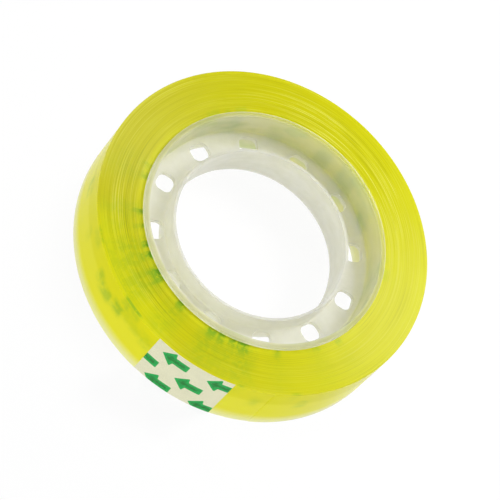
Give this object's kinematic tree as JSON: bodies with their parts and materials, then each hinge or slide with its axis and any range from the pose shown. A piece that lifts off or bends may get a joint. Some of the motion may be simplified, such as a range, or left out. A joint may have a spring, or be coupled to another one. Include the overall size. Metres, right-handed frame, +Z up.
{
  "type": "roll of stationery tape",
  "caption": "Roll of clear yellow stationery tape on a windowed plastic core, with a paper pull tab under the free end of the tape, which peels away from the roll.",
  "frame": {"origin": "on the core's axis, level with the lower side of the tape that the roll lies on", "axes": "+Z along the core's axis, out of the side where the core stands proud of the tape; the pull tab faces -Y; +X to the right seen with +Z up and the tab towards the viewer"},
  "size_m": [0.0594, 0.0595, 0.0126],
  "materials": {
    "core_plastic": "translucent natural moulding, satin gloss",
    "label_print": "green print on a thin yellow strip",
    "wound_tape": "clear film wound many turns deep, slit edges satin",
    "clear_film": "smooth clear film",
    "tab_paper": "uncoated cream paper with green arrows"
  },
  "bodies": {
    "wound_roll": {"core": "core_plastic", "core_label": "label_print", "tape_pack": "wound_tape", "outer_lap": "clear_film"},
    "free_end_1": {"tape_lead_1": "clear_film", "pull_tab_1": "tab_paper"},
    "free_end_2": {"tape_lead_2": "clear_film", "pull_tab_2": "tab_paper"},
    "free_end_3": {"tape_lead_3": "clear_film", "pull_tab_3": "tab_paper"},
    "free_end_4": {"tape_lead_4": "clear_film", "pull_tab_4": "tab_paper"},
    "free_end_5": {"tape_lead_5": "clear_film"},
    "free_end_6": {"tape_lead_6": "clear_film"}
  },
  "joints": [
    {"name": "peel_1", "type": "hinge", "parent": "wound_roll", "child": "free_end_1", "pos_m": [-0.00723, -0.02886, 0.006], "axis": [0, 0, -1], "range_deg": [0, 24]},
    {"name": "peel_2", "type": "hinge", "parent": "free_end_1", "child": "free_end_2", "pos_m": [-0.00364, -0.02953, 0.006], "axis": [0, 0, -1], "range_deg": [0, 24]},
    {"name": "peel_3", "type": "hinge", "parent": "free_end_2", "child": "free_end_3", "pos_m": [0, -0.02975, 0.006], "axis": [0, 0, -1], "range_deg": [0, 24]},
    {"name": "peel_4", "type": "hinge", "parent": "free_end_3", "child": "free_end_4", "pos_m": [0.00364, -0.02953, 0.006], "axis": [0, 0, -1], "range_deg": [0, 24]},
    {"name": "peel_5", "type": "hinge", "parent": "free_end_4", "child": "free_end_5", "pos_m": [0.00723, -0.02886, 0.006], "axis": [0, 0, -1], "range_deg": [0, 24]},
    {"name": "peel_6", "type": "hinge", "parent": "free_end_5", "child": "free_end_6", "pos_m": [0.01056, -0.02781, 0.006], "axis": [0, 0, -1], "range_deg": [0, 24]}
  ],
  "couplings": [
    {"joint": "peel_2", "follows": "peel_1", "ratio": 1},
    {"joint": "peel_3", "follows": "peel_1", "ratio": 1},
    {"joint": "peel_4", "follows": "peel_1", "ratio": 1},
    {"joint": "peel_5", "follows": "peel_1", "ratio": 1},
    {"joint": "peel_6", "follows": "peel_1", "ratio": 1}
  ]
}
